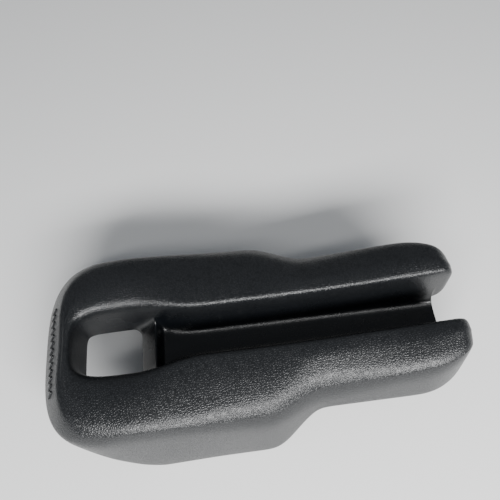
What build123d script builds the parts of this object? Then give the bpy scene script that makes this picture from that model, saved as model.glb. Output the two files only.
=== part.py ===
"""Moulded foam seat for a self-balancing electric unicycle.

A saddle-shaped block of integral-skin polyurethane foam. A channel runs forward between
two raised prongs, and a square hole at the back lets the carrying handle through. Two
skirts at the back reach down over the wheel's housing, and the seat is held on by
hook-and-loop pads stuck to its underside.

Frame: millimetres, +X towards the prong tips, +Y to the rider's left, +Z up. The origin
is the middle of the outline at the level of the skirts' lower faces.
"""
from build123d import *

import os
from math import radians, tan

# Overall form
length = 400.0
prong_top = 109.0             # height at the prong tips
rear_top = 96.0               # height over the rear half
climb_length = 200.0          # from the prong tips back to where the top starts to climb
top_blend = 300.0             # radius that eases each change of slope along the top
wide_half = 94.5              # half width of the rear half, measured at the ceiling's level
prong_half = 75.0             # half width over the prongs, measured at the same level
side_draft = 10.0              # degrees that the side walls lean in going up
prong_length = 200.0          # from the prong tips back to the start of the waist
waist_run = 54.0              # length over which the sides pull in
rear_corner = 62.0            # plan radius of the two rear corners
tip_corner = 42.0             # plan radius of the prongs' outer corners
shoulder = 18.0               # rounding between the top and the sides

# Underside
ceiling = 43.0                # underside of the prongs and of the web between them
skirt_lead = 8.0              # how far the skirts reach in front of the waist's start
step_run = 44.0               # length of the step up to the prongs' underside
toe_round = 16.0              # rounding at the foot of that step
arch_round = 30.0             # rounding at the head of that step
heel_round = 45.0             # rounding between the skirts and the upswept rear
rear_rise = 64.0              # height of the rear rim's lower edge
rear_rise_run = 80.0          # length of the slope that leads up to it
tip_rise = 20.0               # upsweep under the prong tips
tip_rise_run = 38.0
tip_heel = 30.0               # rounding where that upsweep starts
recess_half = 78.0            # half width between the skirts, at their lower faces
recess_draft = 5.0            # degrees that the skirts' inner faces lean
recess_round = 8.0

# Hole, well and channel
rim_width = 35.0              # from the rear end to the hole
hole_length = 52.0
hole_half = 26.0              # half width of the hole at the underside
hole_corner = 8.0
well_half = 36.0              # half width of the well around the hole, at its top
well_corner = 22.0
well_taper_run = 54.0         # length over which the well narrows to the channel
channel_half = 22.5           # half width at the top of the channel
channel_base_half = 20.0      # half width at the underside's level
channel_floor = 50.0
sill_run = 18.0               # length of the slope from the hole up to the sill
sill_top = 62.0
sill_back = 7.0               # length of the sill's front slope
mouth_round = 8.0             # plan rounding where the channel opens between the tips

# Walls and inner pieces
skin = 2.5                    # dense outer skin of the moulding
stiffener_thickness = 3.0
stiffener_width = 26.0
stiffener_back = 60.0         # how far a stiffener reaches behind the waist's start
stiffener_setback = 50.0      # from the prong tips to a stiffener's front end
stiffener_cover = 6.0         # foam between the skin and a stiffener
stiffener_corner = 10.0

# Fastening pads
pad_length = 60.0
pad_width = 26.0
pad_thickness = 3.0
pad_corner = 4.0
adhesive = 0.4
rear_pad_lead = 15.0          # from the hole's front to the middle of the rear pads
mid_pad_lead = 22.0           # from the waist's start to the middle of the mid pads
front_pad_setback = 74.0      # from the prong tips to the middle of the front pads

# Derived places
front_end = length / 2
rear_end = -length / 2
waist_start = front_end - prong_length
hole_rear = rear_end + rim_width
hole_front = hole_rear + hole_length
sill = hole_front + sill_run
channel_end = front_end - mouth_round
draft_slope = tan(radians(side_draft))
draft_growth = ceiling * draft_slope
leg_middle = (channel_half + prong_half) / 2
headroom = prong_top + 40.0
beyond = 40.0                 # how far cutting shapes run past the body


def upright(face, bottom, top, taper=0.0):
    """Solid between two levels over a plan face, which narrows by the taper going up."""
    solid = extrude(face, amount=top - bottom, taper=taper)
    if solid.bounding_box().center().Z < 0:
        solid = mirror(solid, about=Plane.XY)
    return Pos(0, 0, bottom) * solid


def across(face, half):
    """Extrude a side-view face to both sides of the middle plane."""
    return extrude(face, amount=half, both=True)


def round_corner(face, corner, radius):
    """Round the face's corner that lies nearest to a point."""
    point = Vector(*corner)
    nearest = min(face.vertices(), key=lambda vertex: (Vector(vertex) - point).length)
    return fillet(nearest, radius)


def taken_in(face, inset):
    """The face with its outline moved inwards, its corners kept sharp."""
    return offset(face, -inset, kind=Kind.INTERSECTION) if inset else face


def mirrored_face(edges):
    """Plan face from the edges of its left half."""
    return make_face(edges + mirror(edges, about=Plane.XZ)).face()


def side_plan(inset):
    """Plan of the side walls at floor level, with the waist and the rear corners."""
    wide = wide_half + draft_growth - inset
    narrow = prong_half + draft_growth - inset
    back = rear_end - rear_rise * draft_slope + inset
    corner = rear_corner - inset
    ahead = front_end + headroom
    waist_end = waist_start + waist_run
    with BuildLine() as line:
        Line((back, 0), (back, wide - corner))
        RadiusArc((back, wide - corner), (back + corner, wide), corner)
        Line((back + corner, wide), (waist_start, wide))
        Spline((waist_start, wide), (waist_end, narrow), tangents=[(1, 0), (1, 0)])
        Line((waist_end, narrow), (ahead, narrow))
        Line((ahead, narrow), (ahead, 0))
    return mirrored_face(line.line)


def tip_plan(inset):
    """Plan that rounds the outer corners of the prongs."""
    half = prong_half + draft_growth - inset
    front = front_end - inset
    corner = tip_corner - inset
    side = wide_half + headroom
    back = rear_end - headroom
    with BuildLine() as line:
        Line((back, 0), (back, side))
        Line((back, side), (waist_start, side))
        Line((waist_start, side), (front - corner, half))
        RadiusArc((front - corner, half), (front, half - corner), corner)
        Line((front, half - corner), (front, 0))
    return mirrored_face(line.line)


def side_view(inset):
    """Side view: flat skirts, step, prong underside, climbing top and upswept rear."""
    tips = front_end - tip_rise_run
    climb = front_end - climb_length
    skirt_front = waist_start + skirt_lead
    outline = Polyline(
        (rear_end + rear_rise_run, 0), (skirt_front, 0), (skirt_front + step_run, ceiling),
        (tips, ceiling), (front_end, ceiling + tip_rise),
        (front_end + beyond, ceiling + tip_rise), (front_end + beyond, prong_top),
        (tips, prong_top), (climb, rear_top), (rear_end - beyond, rear_top),
        (rear_end - beyond, rear_rise), (rear_end, rear_rise), close=True,
    )
    flat = make_face(outline)
    flat = round_corner(flat, (skirt_front, 0), toe_round)
    flat = round_corner(flat, (skirt_front + step_run, ceiling), arch_round)
    flat = round_corner(flat, (rear_end + rear_rise_run, 0), heel_round)
    flat = round_corner(flat, (tips, ceiling), tip_heel)
    flat = round_corner(flat, (tips, prong_top), top_blend)
    flat = round_corner(flat, (climb, rear_top), top_blend)
    return (Plane.XZ * taken_in(flat, inset)).face()


def outer_shape(inset):
    """The closed outer form, without its channel, hole and recess."""
    solid = upright(side_plan(inset), 0, headroom, side_draft)
    solid = solid & upright(tip_plan(inset), 0, headroom)
    solid = solid & across(side_view(inset), wide_half * 2)
    return fillet(top_rim(solid), shoulder - inset)


def top_rim(solid):
    """Edges around the top: those that belong to one upward face only."""
    tops = [f for f in solid.faces() if f.normal_at(f.center()).Z > 0.9 and f.center().Z > rear_rise]
    edges = [edge for face in tops for edge in face.edges()]
    return [edge for edge in edges if sum(edge.is_same(other) for other in edges) == 1]


def well_plan(inset, half, corner, channel):
    """Plan of the well around the hole, which narrows forward to the channel."""
    back = hole_rear - inset
    side = half + inset
    round_off = corner + inset
    taper_end = hole_front + well_taper_run
    ahead = front_end + beyond
    with BuildLine() as line:
        Line((back, 0), (back, side - round_off))
        RadiusArc((back, side - round_off), (back + round_off, side), round_off)
        Line((back + round_off, side), (hole_front, side))
        Spline((hole_front, side), (taper_end, channel + inset), tangents=[(1, 0), (1, 0)])
        Line((taper_end, channel + inset), (ahead, channel + inset))
        Line((ahead, channel + inset), (ahead, 0))
    return mirrored_face(line.line)


def floor_view(inset):
    """Side view of what stays under the channel: the slope, the sill and the floor."""
    low = ceiling - beyond
    outline = Polyline(
        (hole_front, low), (hole_front, ceiling), (sill, sill_top),
        (sill + sill_back, channel_floor), (front_end + 2 * beyond, channel_floor),
        (front_end + 2 * beyond, low), close=True,
    )
    return (Plane.XZ * taken_in(make_face(outline), inset)).face()


def channel_cutter(inset):
    """What the hole, the well and the channel take away."""
    base = well_plan(inset, hole_half, hole_corner, channel_base_half)
    rim = well_plan(inset, well_half, well_corner, channel_half)
    below = upright(base, 0, ceiling)
    flared = loft([Pos(0, 0, ceiling) * base, Pos(0, 0, prong_top) * rim])
    above = upright(rim, prong_top, headroom)
    well = below + flared + above
    return well - across(floor_view(inset), well_half + 2 * beyond)


def mouth_cutter(inset):
    """The rounded opening between the tips, which also ends the channel's floor."""
    back = channel_end - inset
    side = channel_half + inset
    round_off = mouth_round
    ahead = front_end + beyond
    with BuildLine() as line:
        Line((back, 0), (back, side))
        RadiusArc((back, side), (back + round_off, side + round_off), -round_off)
        Line((back + round_off, side + round_off), (ahead, side + round_off))
        Line((ahead, side + round_off), (ahead, 0))
    return upright(mirrored_face(line.line), 0, headroom)


def recess_cutter(inset):
    """The space between the skirts, open at both ends."""
    low_half = recess_half + inset
    top = ceiling + inset
    lean = tan(radians(recess_draft))
    low = -beyond
    outline = Polyline(
        (-low_half + low * lean, low), (low_half - low * lean, low),
        (low_half - top * lean, top), (-low_half + top * lean, top), close=True,
    )
    flat = make_face(outline)
    flat = fillet([v for v in flat.vertices() if v.Y > 0], recess_round + inset)
    return across((Plane.YZ * flat).face(), length)


def seat_form(inset):
    """The whole moulding, or the same form taken in by the inset."""
    solid = outer_shape(inset) - channel_cutter(inset)
    solid = solid - mouth_cutter(inset)
    return (solid - recess_cutter(inset)).solid()


def rounded_plate(x_low, x_high, middle, width, corner, bottom, top):
    """Flat plate with rounded corners, set along the length."""
    plan = Pos((x_low + x_high) / 2, middle) * RectangleRounded(x_high - x_low, width, corner)
    return extrude(Pos(0, 0, bottom) * plan, amount=top - bottom)


def stiffener(side):
    """Plastic plate moulded into the foam of one prong."""
    bottom = ceiling + skin + stiffener_cover
    return rounded_plate(
        waist_start - stiffener_back, front_end - stiffener_setback, side * leg_middle,
        stiffener_width, stiffener_corner, bottom, bottom + stiffener_thickness,
    )


def pad_layer(station, side, bottom, top):
    """One layer of a fastening pad: the adhesive film or the hook tape."""
    return rounded_plate(
        station - pad_length / 2, station + pad_length / 2, side * leg_middle,
        pad_width, pad_corner, bottom, top,
    )


def main():
    """Build every piece and write each to its own file."""
    stations = {
        "rear": hole_front + rear_pad_lead,
        "mid": waist_start + mid_pad_lead,
        "front": front_end - front_pad_setback,
    }
    sides = {"left": 1, "right": -1}
    inner = seat_form(skin)
    pieces = {"seat_skin": seat_form(0) - inner}
    films = []
    for side_name, side in sides.items():
        plate = stiffener(side)
        pieces["stiffener_" + side_name] = plate
        inner = inner - plate
        for station_name, station in stations.items():
            glued = ceiling - adhesive
            pad = pad_layer(station, side, glued - pad_thickness, glued)
            pieces["hook_pad_" + station_name + "_" + side_name] = pad
            films.append(pad_layer(station, side, glued, ceiling))
    pieces["foam_core"] = inner
    pieces["pad_adhesive"] = Compound(children=[film.solid() for film in films])
    os.makedirs("parts", exist_ok=True)
    for name, piece in pieces.items():
        export_step(piece, "parts/" + name + ".step")
        print(name, round(piece.volume), len(piece.solids()), piece.is_valid)


main()
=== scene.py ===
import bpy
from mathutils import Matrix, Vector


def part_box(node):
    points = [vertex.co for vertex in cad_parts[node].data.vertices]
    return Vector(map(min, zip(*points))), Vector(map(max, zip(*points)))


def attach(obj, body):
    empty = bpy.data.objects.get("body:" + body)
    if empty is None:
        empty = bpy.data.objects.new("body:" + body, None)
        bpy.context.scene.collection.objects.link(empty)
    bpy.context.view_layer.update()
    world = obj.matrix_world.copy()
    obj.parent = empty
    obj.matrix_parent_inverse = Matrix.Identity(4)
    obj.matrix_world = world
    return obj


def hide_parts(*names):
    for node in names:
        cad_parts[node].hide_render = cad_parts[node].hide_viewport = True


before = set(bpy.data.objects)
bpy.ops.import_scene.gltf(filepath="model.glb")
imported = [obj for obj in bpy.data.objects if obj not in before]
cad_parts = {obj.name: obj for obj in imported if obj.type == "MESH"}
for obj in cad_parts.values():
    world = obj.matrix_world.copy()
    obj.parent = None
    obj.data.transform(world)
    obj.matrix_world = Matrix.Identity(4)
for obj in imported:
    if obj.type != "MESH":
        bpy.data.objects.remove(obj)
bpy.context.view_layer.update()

# %% [markdown]
# Blender works in metres, and a seat is easier to think of in millimetres. So lengths below
# are written in millimetres, and one constant turns them to metres where a point is made.
# %% Units and small helpers
from math import asin, cos, pi, radians, sin, sqrt, tan

import bmesh
import bpy
from mathutils import Matrix, Vector

MM = 0.001


def mix(start, end, share):
    """The value that lies a share of the way from start to end."""
    return start + (end - start) * share


def ease(share):
    """A share from 0 to 1 that sets off and arrives gently."""
    share = min(max(share, 0.0), 1.0)
    return share * share * (3 - 2 * share)


def quarter(share):
    """How far a quarter circle has dropped, from 0 at its start to 1 at its end."""
    share = min(max(share, 0.0), 1.0)
    return 1 - sqrt(max(0.0, 1 - share * share))


print("half way eased:", ease(0.5), "quarter circle at 0.6:", round(quarter(0.6), 2))

# %% [markdown]
# The camera comes first, because it settles what the light has to do. It stands in front of
# the near side, about 55 cm up, and looks steeply down at the seat, a little turned.
# %% Camera
CAMERA_PLACE = Vector((-8.8, -163.6, 554.7)) * MM
CAMERA_TURN = -6.42            # degrees about the vertical
CAMERA_PITCH = 62.18           # degrees below the horizon
CAMERA_ROLL = -0.85
CAMERA_LENS = 37.66            # mm, on a sensor 36 mm wide
CAMERA_SHIFT = (-0.0232, -0.0074)  # share of the frame that the view is slid by

camera = bpy.data.objects.new("camera", bpy.data.cameras.new("camera"))
bpy.context.scene.collection.objects.link(camera)
camera.data.lens = CAMERA_LENS
camera.data.shift_x, camera.data.shift_y = CAMERA_SHIFT
camera.data.clip_start = 0.01
camera.matrix_world = (
    Matrix.Translation(CAMERA_PLACE)
    @ Matrix.Rotation(radians(CAMERA_TURN), 4, "Z")
    @ Matrix.Rotation(radians(90 - CAMERA_PITCH), 4, "X")
    @ Matrix.Rotation(radians(CAMERA_ROLL), 4, "Z")
)
bpy.context.scene.camera = camera
print("camera lens", round(camera.data.lens, 1), "mm, at", CAMERA_PLACE)

# %% [markdown]
# ## Materials
#
# A small function adds a node and sets its values. Where a value is another node's output,
# it makes a link instead. Colours are written as hex, as a paint program shows them, and
# one function turns them to the linear values that a shader needs.
# %% Colour and node helpers
# A Mix node has a socket for each kind of value under one name, so its colour sockets are
# found by number.
SHARE, COLOUR_A, COLOUR_B, COLOUR_OUT = 0, 6, 7, 2


def linear(code):
    """Linear colour from an sRGB hex code."""
    parts = [int(code[i:i + 2], 16) / 255 for i in (1, 3, 5)]
    curve = [p / 12.92 if p <= 0.04045 else ((p + 0.055) / 1.055) ** 2.4 for p in parts]
    return (*curve, 1.0)


def add(tree, kind, values=None, **options):
    """Add a node. Values go to its inputs by name or number, and an output makes a link."""
    node = tree.nodes.new(kind)
    for name, option in options.items():
        setattr(node, name, option)
    for name, value in (values or {}).items():
        if isinstance(value, bpy.types.NodeSocket):
            tree.links.new(value, node.inputs[name])
        else:
            node.inputs[name].default_value = value
    return node


def new_material(name):
    """An empty node material and its tree."""
    material = bpy.data.materials.new(name)
    material.use_nodes = True
    material.node_tree.nodes.clear()
    return material, material.node_tree


print("charcoal is", [round(c, 4) for c in linear("#1C1D1F")])

# %% [markdown]
# The skin is polyurethane, whose surface copies the mould. The mould's wall was etched with
# a leather grain of pebbles a little over a millimetre across. Between them run fine
# creases, and each pebble catches its own small glint, so a highlight on the seat breaks up
# into sparks. The walls of the channel and of the hole were polished more and look smoother,
# and their colour is painted darker as a painted shade in those recesses. The grain could be
# a painted image, but a Voronoi texture's cell edges give such creases at any size, and a
# noise that bends them keeps the pebbles from looking cut.
# %% Grained polyurethane skin
GRAIN = 2.0                    # mm across a pebble: half as coarse again as the real one, to show
GRAIN_RELIEF = 0.16            # mm from a crease to the top of a pebble
FINE_GRAIN = 0.7               # mm across the small lumps on a pebble
BEND_SIZE, BEND_REACH = 3.0, 1.2   # mm across the noise that bends the creases, and how far
PATCH = 55                     # mm across the patches of slightly different black and gloss
SCUFF = 14                     # mm across the places where handling has dulled the skin


def grained_polyurethane(name):
    """Black integral-skin polyurethane with a moulded leather grain."""
    material, tree = new_material(name)
    place = add(tree, "ShaderNodeTexCoord").outputs["Object"]
    inside = add(tree, "ShaderNodeAttribute", attribute_name="inside").outputs["Fac"]

    warp = add(tree, "ShaderNodeTexNoise",
               {"Vector": place, "Scale": 1 / (BEND_SIZE * MM), "Detail": 2.0})
    centred = add(tree, "ShaderNodeVectorMath", {0: warp.outputs["Color"], 1: (0.5, 0.5, 0.5)},
                  operation="SUBTRACT")
    shifted = add(tree, "ShaderNodeVectorMath",
                  {0: centred.outputs[0], "Scale": BEND_REACH * MM}, operation="SCALE")
    bent = add(tree, "ShaderNodeVectorMath", {0: place, 1: shifted.outputs[0]}, operation="ADD")
    pebbles = add(tree, "ShaderNodeTexVoronoi",
                  {"Vector": bent.outputs[0], "Scale": 1 / (GRAIN * MM)},
                  feature="DISTANCE_TO_EDGE")
    crease = add(tree, "ShaderNodeMapRange",
                 {"Value": pebbles.outputs["Distance"], "From Max": 0.32},
                 interpolation_type="SMOOTHSTEP")
    lumps = add(tree, "ShaderNodeTexNoise",
                {"Vector": place, "Scale": 1 / (FINE_GRAIN * MM), "Detail": 3.0,
                 "Roughness": 0.6})
    height = add(tree, "ShaderNodeMath", {0: lumps.outputs["Fac"], 1: 0.75, 2: crease.outputs[0]},
                 operation="MULTIPLY_ADD")
    strength = add(tree, "ShaderNodeMapRange", {"Value": inside, "To Min": 0.95, "To Max": 0.25})
    grain = add(tree, "ShaderNodeBump",
                {"Height": height.outputs[0], "Strength": strength.outputs[0],
                 "Distance": GRAIN_RELIEF * MM})

    patches = add(tree, "ShaderNodeTexNoise",
                  {"Vector": place, "Scale": 1 / (PATCH * MM), "Detail": 4.0})
    scuffs = add(tree, "ShaderNodeTexNoise",
                 {"Vector": place, "Scale": 1 / (SCUFF * MM), "Detail": 8.0, "Roughness": 0.72})
    worn = add(tree, "ShaderNodeMapRange",
               {"Value": scuffs.outputs["Fac"], "From Min": 0.60, "From Max": 0.78})
    black = add(tree, "ShaderNodeMix",
                {SHARE: patches.outputs["Fac"], COLOUR_A: linear("#1B1D1F"),
                 COLOUR_B: linear("#252628")}, data_type="RGBA")
    # The creases and the low spots of the lumps are painted near black: a painted shade in the
    # grain's hollows.
    crease_shaded = add(tree, "ShaderNodeMix",
                  {SHARE: height.outputs[0], COLOUR_A: linear("#040506"),
                   COLOUR_B: black.outputs[COLOUR_OUT]}, data_type="RGBA")
    # The walls of the channel and the hole are painted darker: a painted shade in the recess.
    recess_shaded = add(tree, "ShaderNodeMix",
                   {SHARE: inside, COLOUR_A: crease_shaded.outputs[COLOUR_OUT],
                    COLOUR_B: linear("#07090C")}, data_type="RGBA")
    dusty = add(tree, "ShaderNodeMath", {0: worn.outputs[0], 1: 0.22}, operation="MULTIPLY")
    colour = add(tree, "ShaderNodeMix",
                 {SHARE: dusty.outputs[0], COLOUR_A: recess_shaded.outputs[COLOUR_OUT],
                  COLOUR_B: linear("#3A3A39")}, data_type="RGBA")
    matt = add(tree, "ShaderNodeMapRange",
               {"Value": patches.outputs["Fac"], "From Min": 0.3, "From Max": 0.7,
                "To Min": 0.30, "To Max": 0.36})
    polish = add(tree, "ShaderNodeMath", {0: inside, 1: -0.06, 2: matt.outputs[0]},
                 operation="MULTIPLY_ADD")
    rough = add(tree, "ShaderNodeMath", {0: worn.outputs[0], 1: 0.12, 2: polish.outputs[0]},
                operation="MULTIPLY_ADD")
    shader = add(tree, "ShaderNodeBsdfPrincipled",
                 {"Base Color": colour.outputs[COLOUR_OUT], "Roughness": rough.outputs[0],
                  "IOR": 1.5, "Normal": grain.outputs[0]})
    add(tree, "ShaderNodeOutputMaterial", {"Surface": shader.outputs[0]})
    return material


skin_material = grained_polyurethane("grained_integral_skin_polyurethane")
print("made", skin_material.name, "with", len(skin_material.node_tree.nodes), "nodes")

# %% [markdown]
# ## The moulding
#
# The seat is the same on both sides, so only its left half is drawn. Think of that half as a
# thick strap: it starts behind the handle's hole, bends round the rear corner and runs forward
# to one prong tip. At every place along it, a closed outline shows what a saw cut would show.
# First come the sizes of the outside, all in millimetres, with x forward. Each is written as
# a value at one place and an easing to the next, because a mould has no sudden steps.
# %% Sizes of the outside
FAN_X = -120.0                 # the rear half circle of outlines turns about this place
CEILING = 43.0                 # level of the underside between the skirts
SIDE_LEAN = tan(radians(10.4))     # how far the sides lean out for each mm down

WING_HALF, PRONG_HALF, TIP_HALF = 94.2, 76.3, 41.5     # half widths at the ceiling's level
WING_SWELL, SWELL_REACH = 1.6, 90      # the wings are a little wider about the fan's middle
NECK_X, NECK_LENGTH = 2.6, 59.7        # where the wings narrow to the prongs
TIP_CURVE_X, TIP_CURVE = 149.5, 50.5   # where the prongs narrow to their tips

REAR_CREST, TIP_CREST = 95.0, 109.0    # levels of the crest beside the channel
CLIMB_X, CLIMB = 10, 190               # where the crest climbs towards the tips
REAR_SHOULDER, WAIST_SHOULDER, PRONG_SHOULDER = 94.4, 82.3, 104.3
WAIST_X, WAIST_REACH = 30, 150         # the shoulder's lowest place, and how far it climbs
TIP_FALL, FALL_X, FALL = 23.4, 182, 18         # the top rounds down over the tips

REAR_RISE, RISE_X, RISE = 65.4, -98.2, 68.4    # the lower edge sweeps up under the rear
STEP_X, STEP = 12.0, 43.0                      # it steps up from the skirt to the prong
TIP_RISE, TIP_RISE_X, TIP_RISE_RUN = 25.5, 159.4, 40.6     # and sweeps up under the tips


def side_half(x):
    """Half width at the ceiling's level: wide at the back, narrow over the prongs."""
    wing = WING_HALF + WING_SWELL * ease(1 - abs(x - FAN_X) / SWELL_REACH)
    along = mix(wing, PRONG_HALF, ease((x - NECK_X) / NECK_LENGTH))
    return mix(along, TIP_HALF, quarter((x - TIP_CURVE_X) / TIP_CURVE))


def tip_fall(x):
    """How far the top has rounded down at the prong tips."""
    return TIP_FALL * quarter((x - FALL_X) / FALL)


def crest_level(x):
    """Height of the line where the top turns down into the channel."""
    climb = max(0.0, (x - CLIMB_X) / CLIMB) ** 1.5
    return mix(REAR_CREST, TIP_CREST, climb) - tip_fall(x)


def shoulder_level(x):
    """Height where the top meets the side, lower at the waist."""
    if x < WAIST_X:
        level = mix(REAR_SHOULDER, WAIST_SHOULDER, ease((x - FAN_X) / WAIST_REACH))
    else:
        level = mix(WAIST_SHOULDER, PRONG_SHOULDER, ease((x - WAIST_X) / WAIST_REACH))
    return level - tip_fall(x)


def foot_level(x):
    """Height of the side's lower edge: upswept rear, skirt, step and prong."""
    if x < 0:
        return REAR_RISE * min(max((RISE_X - x) / RISE, 0.0), 1.0) ** 1.46
    sweep = quarter((x - TIP_RISE_X) / TIP_RISE_RUN)
    return CEILING * ease((x - STEP_X) / STEP) + TIP_RISE * sweep


print("half widths at the ceiling:", [round(side_half(x)) for x in (-120, 0, 60, 150, 200)])

# %% [markdown]
# The channel between the prongs runs back to a low sill, with a ramp behind it that drops
# into the hole for the wheel's carrying handle. Round the hole the walls stand wider apart,
# so the sizes of the channel blend into those of the well.
# %% Sizes of the channel and the well
FLOOR = 50.0                   # floor of the channel
FLOOR_END = 186                # where the floor ends, short of the tips
SILL, SILL_X, SILL_FRONT = 62.0, -95, 7    # crest of the sill, and how far its front runs
RAMP_FOOT, RAMP_X = 46.0, -111     # lower end of the ramp behind the sill
HOLE_FILLET, CHANNEL_FILLET = 4.0, 14.0
FILLET_X, FILLET_RUN = -97, 22     # where one fillet turns into the other
CHANNEL_CREST, CHANNEL_FOOT = 22.5, 19.6   # half widths between the channel's walls
WELL_CREST, WELL_FOOT = 31.5, 24.0     # the same round the hole
WELL_X, WELL_RUN = -112, 62        # where the well narrows to the channel
MOUTH_FLARE, MOUTH_X = 8, 192      # the walls curve outwards at the prong tips


def well_share(x):
    """1 round the hole's well, and 0 along the channel."""
    return 1 - ease((x - WELL_X) / WELL_RUN)


def mouth(x):
    """How far the channel's walls have curved outwards at the prong tips."""
    return MOUTH_FLARE * quarter((x - MOUTH_X) / MOUTH_FLARE)


def crest_half(x):
    """Half width between the two crests."""
    return mix(CHANNEL_CREST, WELL_CREST, well_share(x)) + mouth(x)


def wall_foot_half(x):
    """Half width between the lower ends of the inner walls, before the mouth."""
    return mix(CHANNEL_FOOT, WELL_FOOT, well_share(x))


def floor_level(x):
    """Level of the channel's floor, with the ramp and the sill behind it."""
    if x < SILL_X:
        return mix(RAMP_FOOT, SILL, min(max((x - RAMP_X) / (SILL_X - RAMP_X), 0.0), 1.0))
    return mix(SILL, FLOOR, ease((x - SILL_X) / SILL_FRONT))


def fillet(x):
    """Rounding between the floor and the walls: small at the hole and large in the channel."""
    return mix(HOLE_FILLET, CHANNEL_FILLET, ease((x - FILLET_X) / FILLET_RUN))


print("floor levels:", [round(floor_level(x)) for x in (-111, -100, -95, -88, 100)])

# %% [markdown]
# An outline is a list of corners. Each corner has its place, how far its rounding reaches
# along both edges, how many points draw that rounding, and how many points divide the edge
# after it. The counts are the same for every outline, so any two can be joined point to point.
# %% Outline corners
# For each corner, the points that round it and the points between it and the next one: foot,
# low shoulder, high shoulder, crest, wall, wall's lower edge, crook of the recess and toe.
COUNTS = ((3, 2), (3, 0), (3, 2), (4, 1), (1, 0), (2, 2), (3, 1), (2, 0))
WALL_ROW = 18                  # the point on the inner wall where the floor's fillet starts
EDGE_ROW = 20                  # the point just past the inner wall's lower edge
SHOULDER = 2                   # the corner where the flat top starts
LONGEST_REACH = 0.45           # share of an edge that the rounding of one corner may take


def outline(corners, crown):
    """Points of a closed outline, from corners given as (out, up, reach).
    The crown is how far the top swells between the shoulder and the crest."""
    spots = [Vector((out, up)) for out, up, _ in corners]
    points = []
    for i, (_, _, reach) in enumerate(corners):
        following = (i + 1) % len(corners)
        here, before, after = spots[i], spots[i - 1], spots[following]
        rounding, dividing = COUNTS[i]
        back, ahead = before - here, after - here
        start = here + back.normalized() * min(reach, LONGEST_REACH * back.length)
        end = here + ahead.normalized() * min(reach, LONGEST_REACH * ahead.length)
        if rounding == 1:
            points.append(here)
            end = here
        else:
            for step in range(rounding):
                t = step / (rounding - 1)
                points.append(start * (1 - t) ** 2 + here * 2 * t * (1 - t) + end * t ** 2)
        reach_next = corners[following][2] if COUNTS[following][0] > 1 else 0
        stop = after - ahead.normalized() * min(reach_next, LONGEST_REACH * ahead.length)
        swell = Vector((0, crown)) if i == SHOULDER else Vector((0, 0))
        for step in range(dividing):
            points.append(end.lerp(stop, (step + 1) / (dividing + 1)) + swell)
    return points


print("points in one outline:", sum(rounding + dividing for rounding, dividing in COUNTS))

# %% [markdown]
# Along the channel the outlines stand straight across the seat. Round the back they turn
# about one middle, like slices of a ring cake, and their distances follow superellipses, a
# rounded rectangle that one number makes squarer or rounder. Both share the underside: a
# recess with a sharp crook, which closes to a flat sole where the lower edge has risen.
# %% Outlines across and round the seat
RECESS_HALF = 78.0             # half width between the skirts at their feet
RECESS_LEAN = 3.8              # how much narrower the recess is at its ceiling
SHOULDER_FALL = 11.5           # how far the shoulder's rounding reaches down the side
SHOULDER_WIDTH = 0.78          # how far it reaches in, as a share of its height
TOP_SAG = 4.5                  # the most that the shoulder may lie below the crest
WEB_RISE = 3.2                 # how far the web's underside may rise above the ceiling
RIM_LOW, RIM_HIGH, RIM_WIDTH = 67.0, 94.0, 22.0    # the sloped rim at the back
RIM_TURN = 65                  # degrees past sideways over which the rim takes over
# For the rim, the crest round the hole and the hole itself: how far each reaches back from
# the fan's middle, and the power that makes it squarer.
RIM_BACK, RIM_POWER = 79.0, 3.1
CREST_BACK, CREST_POWER = 48.0, 3.4
HOLE_BACK, HOLE_POWER = 45.5, 9.0


def underside(foot, foot_up, base, base_up, slope):
    """Corners under the moulding, from the inner wall's edge back to the foot."""
    flat = ease((foot_up / CEILING - 0.9) / 0.1)
    toe = min(RECESS_HALF - RECESS_LEAN * foot_up / CEILING, foot - 5) * slope
    crook = min(RECESS_HALF - RECESS_LEAN, toe / slope - 4) * slope
    toe = mix(toe, mix(base, foot, 0.75), flat)
    crook = mix(crook, mix(base, foot, 0.42), flat)
    level = mix(CEILING, base_up, flat)
    toe_up = mix(foot_up, mix(base_up, foot_up, 0.6), flat)
    return [(base, base_up, 2.5), (crook, level, 7), (toe, toe_up, 3)]


def straight_outline(x):
    """Outline across the seat at x, measured out from the middle plane."""
    def wall(up):
        return side_half(x) + (CEILING - up) * SIDE_LEAN

    along_tip = min(max((x - TIP_CURVE_X) / TIP_CURVE, 0.0), 1.0)
    narrowing = sqrt(max(0.08, 1 - along_tip ** 2))
    top = crest_level(x)
    crest = crest_half(x)
    web_level = CEILING + WEB_RISE
    if x > FLOOR_END:
        web_level = mix(web_level, foot_level(x), ease((x - FLOOR_END) / 12))
    base_up = min(max(CEILING, foot_level(x)), web_level) if x > 0 else CEILING
    base = wall_foot_half(x) + mouth(x)
    foot_up = foot_level(x)
    high_up = max(shoulder_level(x), top - TOP_SAG)
    low_up = mix(shoulder_level(x), high_up, 0.15) - SHOULDER_FALL * narrowing
    high = max(wall(low_up) - SHOULDER_WIDTH * (high_up - low_up) * narrowing, crest + 1)
    low = max(wall(low_up), high + 0.6)
    foot = max(wall(foot_up), base + 2)
    row_up = max(floor_level(x) + fillet(x), base_up + 4)
    row = mix(base, crest, (row_up - base_up) / (top - base_up))
    return outline([
        (foot, foot_up, 4.5), (low, low_up, 11), (high, min(high_up, top - 0.2), 11),
        (crest, top, mix(6.5, 12, well_share(x))), (row, row_up, 0),
        *underside(foot, foot_up, base, base_up, 1),
    ], 1.0)


def superellipse(turn, along, across, power):
    """Distance from the middle to a rounded rectangle, at a turn in radians."""
    share = (abs(cos(turn)) / along) ** power + (abs(sin(turn)) / across) ** power
    return share ** (-1 / power)


def well_crest(turn):
    """Distance from the fan's middle to the crest round the hole."""
    return superellipse(turn, CREST_BACK, WELL_CREST, CREST_POWER)


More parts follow.
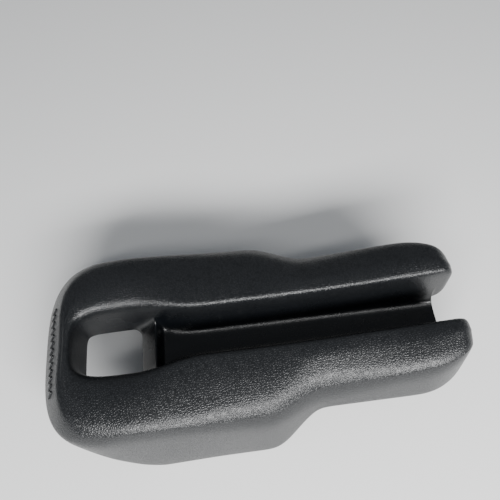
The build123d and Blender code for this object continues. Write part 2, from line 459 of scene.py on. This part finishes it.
def turned_outline(degrees):
    """Outline at a turn about the fan's middle: 90 is sideways and 180 is straight back."""
    turn = radians(degrees)
    back = ease((degrees - 90) / RIM_TURN)
    wide = superellipse(turn, RIM_BACK, side_half(FAN_X), RIM_POWER)
    low_up = mix(REAR_SHOULDER - SHOULDER_FALL, RIM_LOW, back)
    high_up = mix(REAR_SHOULDER, RIM_HIGH, back)
    low = wide + (CEILING - low_up) * SIDE_LEAN * (1 - back)
    high = low - mix(SHOULDER_FALL, RIM_WIDTH, back)
    crest = well_crest(turn)
    base = superellipse(turn, HOLE_BACK, WELL_FOOT, HOLE_POWER)
    foot_up = min(foot_level(FAN_X + wide * cos(turn)), low_up - 5)
    foot = wide + (CEILING - foot_up) * SIDE_LEAN - back * (low_up - foot_up) * 0.16
    row = mix(base, crest, 7 / 52)
    return outline([
        (foot, foot_up, 4.5), (low, low_up, mix(11, 4, back)),
        (high, high_up, mix(11, 3.5, back)), (crest, REAR_CREST, 12), (row, FLOOR, 0),
        *underside(foot, foot_up, base, CEILING, 1 / sin(turn) if degrees < 115 else 1),
    ], 0.8)


print("outlines of", len(straight_outline(100)), "and", len(turned_outline(140)), "points")

# %% [markdown]
# Now the half is built as you would by hand. An outline is drawn at the back, its edges are
# extruded, and the new points are moved to the next outline, again and again up to the tip.
# %% Stations and the first half
TURNS = (180, 172, 165, 159, 155, 152, 149, 145, 139, 132, 124, 115, 107, 100)
STATIONS = (-120, -117, -113, -108, -102, -98, -96, -95, -94, -92, -89, -86, -78, -66, -52,
            -38, -24, -10, 2, 10, 18, 26, 34, 42, 50, 56, 64, 76, 90, 106, 122, 138, 152, 162,
            170, 176, 181, 184.5, 186, 188, 190.5, 193, 195.5, 197.5, 199, 199.8)
WEB_START = -117               # the station where the web begins, in front of the hole


def place_turned(degrees):
    """The outline's points in space, at a turn about the fan's middle."""
    turn = radians(degrees)
    return [Vector((FAN_X + out * cos(turn), out * sin(turn), up)) * MM
            for out, up in turned_outline(degrees)]


def place_straight(x):
    """The outline's points in space, across the seat at x."""
    return [Vector((x, out, up)) * MM for out, up in straight_outline(x)]


def edges_of(points):
    """The edges that meet some points, each once and always in the same order."""
    return list(dict.fromkeys(edge for point in points for edge in point.link_edges))


def extrude_through(mesh, outlines):
    """Draw the first outline, extrude it through the others and return the rows of points."""
    row = [mesh.verts.new(point) for point in outlines[0]]
    edges = [mesh.edges.new((row[i - 1], row[i])) for i in range(len(row))]
    rows = [row]
    for target in outlines[1:]:
        grown = bmesh.ops.extrude_edge_only(mesh, edges=edges)["geom"]
        fresh = {part for part in grown if isinstance(part, bmesh.types.BMVert)}
        edges = [part for part in grown if isinstance(part, bmesh.types.BMEdge)
                 and fresh.issuperset(part.verts)]
        row = [next(edge.other_vert(old) for edge in old.link_edges
                    if edge.other_vert(old) in fresh) for old in row]
        for vertex, point in zip(row, target):
            vertex.co = point
        rows.append(row)
    bmesh.ops.edgeloop_fill(mesh, edges=edges)
    return rows


def draw_half():
    """The left half of the moulding, with a slot left open where the web joins it."""
    mesh = bmesh.new()
    outlines = [place_turned(turn) for turn in TURNS] + [place_straight(x) for x in STATIONS]
    rows = extrude_through(mesh, outlines)
    for vertex in rows[0]:
        vertex.co.y = 0
    first = len(TURNS) + STATIONS.index(WEB_START)
    last = len(TURNS) + STATIONS.index(FLOOR_END)
    web_rows = rows[first:last + 1]
    strip = {vertex for row in web_rows for vertex in row[WALL_ROW:EDGE_ROW + 1]}
    gone = [face for face in mesh.faces if strip.issuperset(face.verts)]
    bmesh.ops.delete(mesh, geom=gone, context="FACES")
    loose = [vertex for vertex in mesh.verts if not vertex.link_faces]
    bmesh.ops.delete(mesh, geom=loose, context="VERTS")
    return mesh


half = draw_half()
print("half moulding:", len(half.verts), "points,", len(half.faces), "faces")

# %% [markdown]
# The web between the prongs is the channel's floor. With both halves there, each has a long
# slot left open in its inner wall. Bridging the two slots makes the web in one step, and
# the new cross edges are divided so that the floor can be hollowed between its fillets.
# %% Mirror the half and bridge the web
HOLE_CORNER = 5.0              # rounding of the hole's front corners
CROSS_CUTS = 9                 # rows of points across the web, an odd number for a middle row
TOP_OF_EDGE = 49.5             # points of the bridge above this level belong to the floor
FLOOR_WIDER = 1.2              # the walls lean, so the floor is this much wider than their feet
SILL_BULGE, BULGE_FADE = 6.0, 21   # the hole's front edge sits this far forward of its corners


def web_point(point):
    """Where a point of the plain bridge belongs, in millimetres."""
    x, y, up = point
    wall = wall_foot_half(x) + (FLOOR_WIDER if up > TOP_OF_EDGE else 0)
    corner = quarter((abs(y) - (wall - HOLE_CORNER)) / HOLE_CORNER)
    x += SILL_BULGE * (1 - corner) * (1 - ease((x - WEB_START) / BULGE_FADE))
    if up > TOP_OF_EDGE:
        up = floor_level(x) + fillet(x) * quarter((abs(y) - (wall - fillet(x))) / fillet(x))
    return Vector((x, y, up))


def joined_moulding(mesh):
    """The half mirrored, with the web between both halves, closed and facing outwards."""
    bmesh.ops.mirror(mesh, geom=mesh.verts[:] + mesh.edges[:] + mesh.faces[:],
                     axis="Y", merge_dist=0.01 * MM)
    slots = [edge for edge in mesh.edges if edge.is_boundary]
    bridge = bmesh.ops.bridge_loops(mesh, edges=slots)
    cross = [edge for edge in bridge["edges"] if edge.verts[0].co.y * edge.verts[1].co.y < 0]
    divided = bmesh.ops.subdivide_edges(mesh, edges=cross, cuts=CROSS_CUTS, use_grid_fill=True)
    for part in divided["geom_inner"]:
        if isinstance(part, bmesh.types.BMVert):
            part.co = web_point(part.co / MM) * MM
    bmesh.ops.recalc_face_normals(mesh, faces=mesh.faces)
    return mesh


cage = joined_moulding(half)
print("moulding cage:", len(cage.faces), "faces, open edges:",
      sum(edge.is_boundary for edge in cage.edges),
      "volume", round(cage.calc_volume(signed=True) * 1e6), "cm3")

# %% [markdown]
# The cage is coarse on purpose. A Subdivision Surface modifier rounds it into the smooth
# skin, and a Solidify modifier gives that skin its real 2.5 mm wall, grown inwards so that
# the outside keeps its size. Sculpting could give the same shape, but a cage keeps the long
# lines of a mould taut. The walls of the channel and the hole are marked with a number from
# 0 to 1, which the skin's material reads to make them smoother and to paint them darker, a
# painted shade in the recess.
# %% Seat moulding
SKIN = 2.5                     # mm of dense skin
# The mark starts 1.5 mm outside the crest and 3 mm below it, and grows over 5 mm and 8 mm.
MARK_OUT, MARK_DOWN = 1.5, 3
FADE_OUT, FADE_DOWN = 5, 8


def finished_piece(name, mesh, material):
    """A smooth object at the origin from a bmesh, with its material, riding on the seat."""
    data = bpy.data.meshes.new(name)
    mesh.to_mesh(data)
    mesh.free()
    data.polygons.foreach_set("use_smooth", [True] * len(data.polygons))
    data.materials.append(material)
    piece = bpy.data.objects.new(name, data)
    bpy.context.scene.collection.objects.link(piece)
    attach(piece, "root")
    return piece


def mark_inside(mesh):
    """Write how far inside the channel or the hole each point lies."""
    layer = mesh.verts.layers.float.new("inside")
    for vertex in mesh.verts:
        x, y, up = vertex.co / MM
        if x > FAN_X:
            crest, out = crest_half(x), abs(y)
        else:
            out = sqrt((FAN_X - x) ** 2 + y * y)
            turn = pi / 2 + asin(min(1.0, (FAN_X - x) / max(0.001, out)))
            crest = well_crest(turn)
        within = ease((crest + MARK_OUT - out) / FADE_OUT)
        below = ease((crest_level(max(x, 0)) - MARK_DOWN - up) / FADE_DOWN)
        vertex[layer] = within * below


def add_smoothing(piece):
    """Round the piece's cage with two levels of subdivision."""
    smooth = piece.modifiers.new("smooth", "SUBSURF")
    smooth.levels = smooth.render_levels = 2


mark_inside(cage)
core_cage = cage.copy()
moulding = finished_piece("seat_moulding", cage, skin_material)
add_smoothing(moulding)
skin_wall = moulding.modifiers.new("skin wall", "SOLIDIFY")
skin_wall.thickness = SKIN * MM
skin_wall.offset = -1.0
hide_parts("seat_skin")
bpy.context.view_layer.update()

# %% [markdown]
# Inside the skin the same shot of polyurethane stays an open foam. It is never seen on a
# whole seat, but the model can be taken apart, so it gets its own piece: the same cage,
# drawn in under the skin by a Displace modifier, with cells about 0.6 mm across.
# %% Foam core
CELL = 0.6                     # mm across one cell of the foam
PORE_DEPTH = 0.25              # mm from a cell's rim to its bottom
CLOUD = 9                      # mm across its lighter and darker clouds
CORE_DEPTH = SKIN + 0.1        # mm that the core lies under the outside


def open_foam(name):
    """Dark open-celled polyurethane foam."""
    material, tree = new_material(name)
    place = add(tree, "ShaderNodeTexCoord").outputs["Object"]
    cells = add(tree, "ShaderNodeTexVoronoi",
                {"Vector": place, "Scale": 1 / (CELL * MM), "Randomness": 0.9})
    pores = add(tree, "ShaderNodeMapRange", {"Value": cells.outputs["Distance"], "From Max": 0.5})
    cloud = add(tree, "ShaderNodeTexNoise",
                {"Vector": place, "Scale": 1 / (CLOUD * MM), "Detail": 4.0})
    # The pore bottoms are painted darker: a painted shade in the pores, on top of random clouds
    # of tone.
    shade = add(tree, "ShaderNodeMath", {0: pores.outputs[0], 1: 0.7, 2: cloud.outputs["Fac"]},
                operation="MULTIPLY_ADD")
    colour = add(tree, "ShaderNodeMix", {SHARE: shade.outputs[0], COLOUR_A: linear("#161617"),
                                         COLOUR_B: linear("#3B3B3D")}, data_type="RGBA")
    relief = add(tree, "ShaderNodeBump", {"Height": pores.outputs[0], "Strength": 0.8,
                                          "Distance": PORE_DEPTH * MM})
    shader = add(tree, "ShaderNodeBsdfPrincipled",
                 {"Base Color": colour.outputs[COLOUR_OUT], "Roughness": 0.92, "IOR": 1.45,
                  "Normal": relief.outputs[0]})
    add(tree, "ShaderNodeOutputMaterial", {"Surface": shader.outputs[0]})
    return material


core = finished_piece("foam_core_block", core_cage, open_foam("open_cell_polyurethane_foam"))
add_smoothing(core)
drawn_in = core.modifiers.new("under the skin", "DISPLACE")
drawn_in.mid_level = 0.0
drawn_in.strength = -CORE_DEPTH * MM
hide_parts("foam_core")
print("core drawn in by", CORE_DEPTH, "mm")

# %% [markdown]
# The mould also leaves a row of raised marks round the middle of the rear rim. Here they are
# plain slanted ribs. Each is a small block with its edges bevelled round, laid on the skin
# where a ray from outside meets it, and sunk until only 1.2 mm stands up.
# %% Rim ribs
RIB_WIDTH, RIB_LENGTH, RIB_DEPTH = 3.2, 8.8, 3.0
RIB_EDGE = 0.9                 # rounding of a rib's edges
RIB_PROUD = 1.2                # how far a rib stands up from the rim
RIB_PITCH = 6.6                # from one rib to the next
RIB_COUNT = 13
RIB_SLANT = radians(24)
RIM_MIDDLE = Vector((-188.0, 0.0, 80.5))
RIM_FACING = Vector((-0.775, 0.0, 0.632))
RAY_START = 60                 # how far outside the rim a ray sets off


def rib_places():
    """For each rib, the turn and place that lay it on the rim."""
    seen = moulding.evaluated_get(bpy.context.evaluated_depsgraph_get())
    places = []
    for i in range(RIB_COUNT):
        across = (i - (RIB_COUNT - 1) / 2) * RIB_PITCH
        start = RIM_MIDDLE + Vector((0, across, 0)) + RAY_START * RIM_FACING
        hit, spot, facing, _ = seen.ray_cast(start * MM, -RIM_FACING)
        if not hit:
            continue
        uphill = (Vector((0, 0, 1)) - facing * facing.z).normalized()
        frame_turn = Matrix((uphill.cross(facing), uphill, facing)).transposed().to_4x4()
        sunk = spot + facing * (RIB_PROUD - RIB_DEPTH / 2) * MM
        places.append(Matrix.Translation(sunk) @ frame_turn @ Matrix.Rotation(RIB_SLANT, 4, "Z"))
    return places


def rim_ribs():
    """All the ribs in one mesh."""
    mesh = bmesh.new()
    for place in rib_places():
        block = bmesh.ops.create_cube(mesh, size=1.0)["verts"]
        bmesh.ops.scale(mesh, verts=block, vec=Vector((RIB_WIDTH, RIB_LENGTH, RIB_DEPTH)) * MM)
        bmesh.ops.transform(mesh, verts=block, matrix=place)
        bmesh.ops.bevel(mesh, geom=edges_of(block), offset=RIB_EDGE * MM, segments=3,
                        profile=0.5, affect="EDGES", material=-1)
    return mesh


ribs = finished_piece("rim_ribs", rim_ribs(), skin_material)
print("rib faces:", len(ribs.data.polygons))

# %% [markdown]
# ## What holds the seat on
#
# Six pieces of hook tape are stuck under the seat. Its base is a plain weave of black nylon
# yarn. Two Wave textures at right angles give the raised threads, because the higher of the
# two at each place is what lies on top in a weave.
# %% Woven nylon
WEAVE = 0.5                    # mm from one thread of the weave to the next
FLUFF = 4                      # mm across the patches of lint
BAND_SPACING = 0.314           # a Wave texture repeats after this length at a scale of 1
WEAVE_RELIEF = 0.12            # mm that a thread stands up


def woven_nylon(name):
    """Black nylon: a plain weave of 0.5 mm threads, with slightly glossy hooks."""
    material, tree = new_material(name)
    place = add(tree, "ShaderNodeTexCoord").outputs["Object"]
    threads = {"Vector": place, "Scale": BAND_SPACING / (WEAVE * MM)}
    warp = add(tree, "ShaderNodeTexWave", threads, bands_direction="X")
    weft = add(tree, "ShaderNodeTexWave", threads, bands_direction="Y")
    weave = add(tree, "ShaderNodeMath", {0: warp.outputs["Fac"], 1: weft.outputs["Fac"]},
                operation="MAXIMUM")
    fluff = add(tree, "ShaderNodeTexNoise",
                {"Vector": place, "Scale": 1 / (FLUFF * MM), "Detail": 5.0})
    # The threads that lie under the others are painted darker: a painted shade in the weave,
    # varied by patches of lint.
    shade = add(tree, "ShaderNodeMath", {0: weave.outputs[0], 1: fluff.outputs["Fac"]},
                operation="MULTIPLY")
    colour = add(tree, "ShaderNodeMix", {SHARE: shade.outputs[0], COLOUR_A: linear("#0E0E10"),
                                         COLOUR_B: linear("#2C2C30")}, data_type="RGBA")
    relief = add(tree, "ShaderNodeBump", {"Height": weave.outputs[0], "Strength": 0.5,
                                          "Distance": WEAVE_RELIEF * MM})
    shader = add(tree, "ShaderNodeBsdfPrincipled",
                 {"Base Color": colour.outputs[COLOUR_OUT], "Roughness": 0.55, "IOR": 1.53,
                  "Normal": relief.outputs[0]})
    add(tree, "ShaderNodeOutputMaterial", {"Surface": shader.outputs[0]})
    return material


nylon = woven_nylon("woven_nylon_hook_tape")
print("made", nylon.name)

# %% [markdown]
# From the base stand rows of stiff monofilament hooks about 2 mm apart. The real hooks are a
# little finer, and these are as coarse as they need to be to show. One hook is a leg that is
# extruded down and a bend that is spun round. It has few faces, because it is copied along a
# row, and the row is copied across the tape.
# %% One hook and its copies
HOOK_PITCH = 2.0               # mm from one hook to the next
HOOK_BEND = 0.5                # radius of a hook's bend
HOOK_TURN = 205                # degrees that the bend goes round
THREAD = 0.3                   # thickness of a hook's thread
TAPE = 1.0                     # thickness of the woven base
PAD_LENGTH, PAD_WIDTH, PAD_DEPTH = 60.0, 26.0, 3.0
PAD_CORNER = 4.0               # rounding of the tape's corners
END_MARGIN, SIDE_MARGIN = 4, 3     # bare tape at both ends together, and at both sides


def one_hook(mesh):
    """Draw one hook that hangs from z = 0."""
    ring = bmesh.ops.create_circle(mesh, segments=4, radius=THREAD / 2 * MM)["verts"]
    bmesh.ops.translate(mesh, verts=ring, vec=Vector((HOOK_BEND, 0, 0)) * MM)
    edges = edges_of(ring)
    leg_depth = PAD_DEPTH - TAPE - HOOK_BEND - THREAD / 2
    leg = bmesh.ops.extrude_edge_only(mesh, edges=edges)["geom"]
    leg_end = [part for part in leg if isinstance(part, bmesh.types.BMVert)]
    bmesh.ops.translate(mesh, verts=leg_end, vec=Vector((0, 0, -leg_depth)) * MM)
    end_edges = [part for part in leg if isinstance(part, bmesh.types.BMEdge)
                 and set(leg_end).issuperset(part.verts)]
    bend = bmesh.ops.spin(mesh, geom=leg_end + end_edges, cent=Vector((0, 0, -leg_depth)) * MM,
                          axis=Vector((0, 1, 0)), angle=radians(HOOK_TURN), steps=5)
    tip = [part for part in bend["geom_last"] if isinstance(part, bmesh.types.BMEdge)]
    bmesh.ops.edgeloop_fill(mesh, edges=tip)
    bmesh.ops.edgeloop_fill(mesh, edges=edges)


def copied(mesh, count, step):
    """Copy everything in the mesh, each copy one step on from the last."""
    source = mesh.verts[:] + mesh.edges[:] + mesh.faces[:]
    for i in range(1, count):
        copy = bmesh.ops.duplicate(mesh, geom=source)["geom"]
        moved = [part for part in copy if isinstance(part, bmesh.types.BMVert)]
        bmesh.ops.translate(mesh, verts=moved, vec=Vector(step) * i * MM)


sample = bmesh.new()
one_hook(sample)
print("one hook has", len(sample.faces), "faces")
sample.free()

# %% [markdown]
# The finished pad is made once, with its middle at the origin. Each packed pad gives a box,
# and a copy is moved to its middle, so the tape sits exactly where the model has it.
# %% Six pads of hook tape
def hook_tape():
    """One pad, with its middle at the origin and its hooks pointing down."""
    mesh = bmesh.new()
    one_hook(mesh)
    along = int((PAD_LENGTH - END_MARGIN) / HOOK_PITCH)
    across = int((PAD_WIDTH - SIDE_MARGIN) / HOOK_PITCH)
    copied(mesh, along, (HOOK_PITCH, 0, 0))
    copied(mesh, across, (0, HOOK_PITCH, 0))
    shift = Vector((-(along - 1) * HOOK_PITCH / 2, -(across - 1) * HOOK_PITCH / 2,
                    PAD_DEPTH / 2 - TAPE))
    bmesh.ops.translate(mesh, verts=mesh.verts, vec=shift * MM)
    base = bmesh.ops.create_cube(mesh, size=1.0)["verts"]
    bmesh.ops.scale(mesh, verts=base, vec=Vector((PAD_LENGTH, PAD_WIDTH, TAPE)) * MM)
    bmesh.ops.translate(mesh, verts=base, vec=Vector((0, 0, (PAD_DEPTH - TAPE) / 2)) * MM)
    upright = [edge for edge in edges_of(base)
               if abs(edge.verts[0].co.z - edge.verts[1].co.z) > 0.5 * TAPE * MM]
    bmesh.ops.bevel(mesh, geom=upright, offset=PAD_CORNER * MM, segments=5, profile=0.5,
                    affect="EDGES", material=-1)
    bmesh.ops.recalc_face_normals(mesh, faces=mesh.faces)
    return mesh


pad_mesh = hook_tape()
for node in sorted(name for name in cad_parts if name.startswith("hook_pad")):
    low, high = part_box(node)
    placed = pad_mesh.copy()
    bmesh.ops.translate(placed, verts=placed.verts, vec=(low + high) / 2)
    pad = finished_piece(node.replace("hook_pad", "hook_tape"), placed, nylon)
    pad.data.polygons.foreach_set("use_smooth", [False] * len(pad.data.polygons))
    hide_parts(node)
    print(pad.name, "faces:", len(pad.data.polygons))
pad_mesh.free()

# %% [markdown]
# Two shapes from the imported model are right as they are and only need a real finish: the thin
# acrylic adhesive behind the tape, and the two strips inside the prongs, cut from natural
# polypropylene sheet, which is milky and shows faint lines from the roller that made it.
# %% Finishes for the adhesive and the stiffeners
BUBBLE = 2.2                   # mm between trapped bubbles
ROLLER_LINE = 0.8              # mm from one roller line to the next
FILM_RELIEF = 0.05             # mm that bubbles and roller lines stand up


def acrylic_adhesive(name):
    """Milky acrylic adhesive film with small trapped bubbles."""
    material, tree = new_material(name)
    place = add(tree, "ShaderNodeTexCoord").outputs["Object"]
    bubbles = add(tree, "ShaderNodeTexVoronoi", {"Vector": place, "Scale": 1 / (BUBBLE * MM)})
    rims = add(tree, "ShaderNodeMapRange",
               {"Value": bubbles.outputs["Distance"], "From Min": 0.08, "From Max": 0.22})
    colour = add(tree, "ShaderNodeMix", {SHARE: rims.outputs[0], COLOUR_A: linear("#C9C4B4"),
                                         COLOUR_B: linear("#E6E2D6")}, data_type="RGBA")
    relief = add(tree, "ShaderNodeBump", {"Height": rims.outputs[0], "Strength": 0.4,
                                          "Distance": FILM_RELIEF * MM})
    shader = add(tree, "ShaderNodeBsdfPrincipled",
                 {"Base Color": colour.outputs[COLOUR_OUT], "Roughness": 0.3, "IOR": 1.47,
                  "Normal": relief.outputs[0]})
    add(tree, "ShaderNodeOutputMaterial", {"Surface": shader.outputs[0]})
    return material


def rolled_polypropylene(name):
    """Natural polypropylene sheet with faint roller lines along x."""
    material, tree = new_material(name)
    place = add(tree, "ShaderNodeTexCoord").outputs["Object"]
    stretched = add(tree, "ShaderNodeMapping", {"Vector": place, "Scale": (0.05, 1.0, 1.0)})
    lines = add(tree, "ShaderNodeTexNoise",
                {"Vector": stretched.outputs[0], "Scale": 1 / (ROLLER_LINE * MM), "Detail": 3.0})
    colour = add(tree, "ShaderNodeMix", {SHARE: lines.outputs["Fac"], COLOUR_A: linear("#CFCFC6"),
                                         COLOUR_B: linear("#E3E3DC")}, data_type="RGBA")
    relief = add(tree, "ShaderNodeBump", {"Height": lines.outputs["Fac"], "Strength": 0.3,
                                          "Distance": FILM_RELIEF * MM})
    shader = add(tree, "ShaderNodeBsdfPrincipled",
                 {"Base Color": colour.outputs[COLOUR_OUT], "Roughness": 0.42, "IOR": 1.49,
                  "Subsurface Weight": 0.2, "Subsurface Scale": 1.5 * MM,
                  "Normal": relief.outputs[0]})
    add(tree, "ShaderNodeOutputMaterial", {"Surface": shader.outputs[0]})
    return material


def refinish(node, material):
    """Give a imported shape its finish."""
    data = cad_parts[node].data
    data.materials.clear()
    data.materials.append(material)
    print(node, "is now", material.name)


refinish("pad_adhesive", acrylic_adhesive("milky_acrylic_adhesive"))
sheet = rolled_polypropylene("rolled_natural_polypropylene")
for side in ("left", "right"):
    refinish("stiffener_" + side, sheet)

# %% [markdown]
# ## Floor and light
#
# The floor is a plain pale board. The main light is a wide softbox low in front of the near
# side: a rounded shoulder mirrors it as one long soft band. The pale floor itself lights
# the steep side walls, and little comes from above, so the flat tops stay dark.
# %% Floor
BOARD_HALF = 4.0               # metres from the middle of the board to its edge
NAP = 3                        # mm across the marks that the paint roller leaves
PAINT_RELIEF = 0.1             # mm that they stand up


def painted_board(name):
    """Matt pale paint, faintly rolled."""
    material, tree = new_material(name)
    place = add(tree, "ShaderNodeTexCoord").outputs["Object"]
    roller = add(tree, "ShaderNodeTexNoise",
                 {"Vector": place, "Scale": 1 / (NAP * MM), "Detail": 2.0})
    relief = add(tree, "ShaderNodeBump", {"Height": roller.outputs["Fac"], "Strength": 0.05,
                                          "Distance": PAINT_RELIEF * MM})
    shader = add(tree, "ShaderNodeBsdfPrincipled",
                 {"Base Color": linear("#F4F4F3"), "Roughness": 0.8, "Normal": relief.outputs[0]})
    add(tree, "ShaderNodeOutputMaterial", {"Surface": shader.outputs[0]})
    return material


floor_mesh = bmesh.new()
bmesh.ops.create_grid(floor_mesh, x_segments=1, y_segments=1, size=BOARD_HALF)
floor_data = bpy.data.meshes.new("studio_floor")
floor_mesh.to_mesh(floor_data)
floor_mesh.free()
floor_data.materials.append(painted_board("matt_painted_board"))
studio_floor = bpy.data.objects.new("studio_floor", floor_data)
bpy.context.scene.collection.objects.link(studio_floor)
print("floor", studio_floor.dimensions)

# %% [markdown]
# The softbox and a narrow strip above it are area lights, placed in metres and both turned
# to the middle of the seat. A dim, slightly blue world stands for the rest of the room.
# %% Lights
AIM = Vector((0.0, 0.0, 0.06))     # the middle of the seat, in metres
ROOM_STRENGTH = 0.22


def softbox(name, place, width, height, power):
    """A rectangular light that faces the seat."""
    light = bpy.data.lights.new(name, "AREA")
    light.shape = "RECTANGLE"
    light.size = width
    light.size_y = height
    light.energy = power
    lamp = bpy.data.objects.new(name, light)
    lamp.location = place
    lamp.rotation_euler = (AIM - Vector(place)).to_track_quat("-Z", "Y").to_euler()
    bpy.context.scene.collection.objects.link(lamp)
    print(name, "of", power, "W")


softbox("front_softbox", (0.15, -1.20, 0.98), 1.6, 0.36, 56)
softbox("strip_light", (0.15, -0.72, 1.35), 1.5, 0.14, 6)

world = bpy.data.worlds.new("studio")
bpy.context.scene.world = world
world.use_nodes = True
surround = world.node_tree.nodes["Background"]
surround.inputs["Color"].default_value = linear("#E6EDF6")
surround.inputs["Strength"].default_value = ROOM_STRENGTH
print("room light", ROOM_STRENGTH)
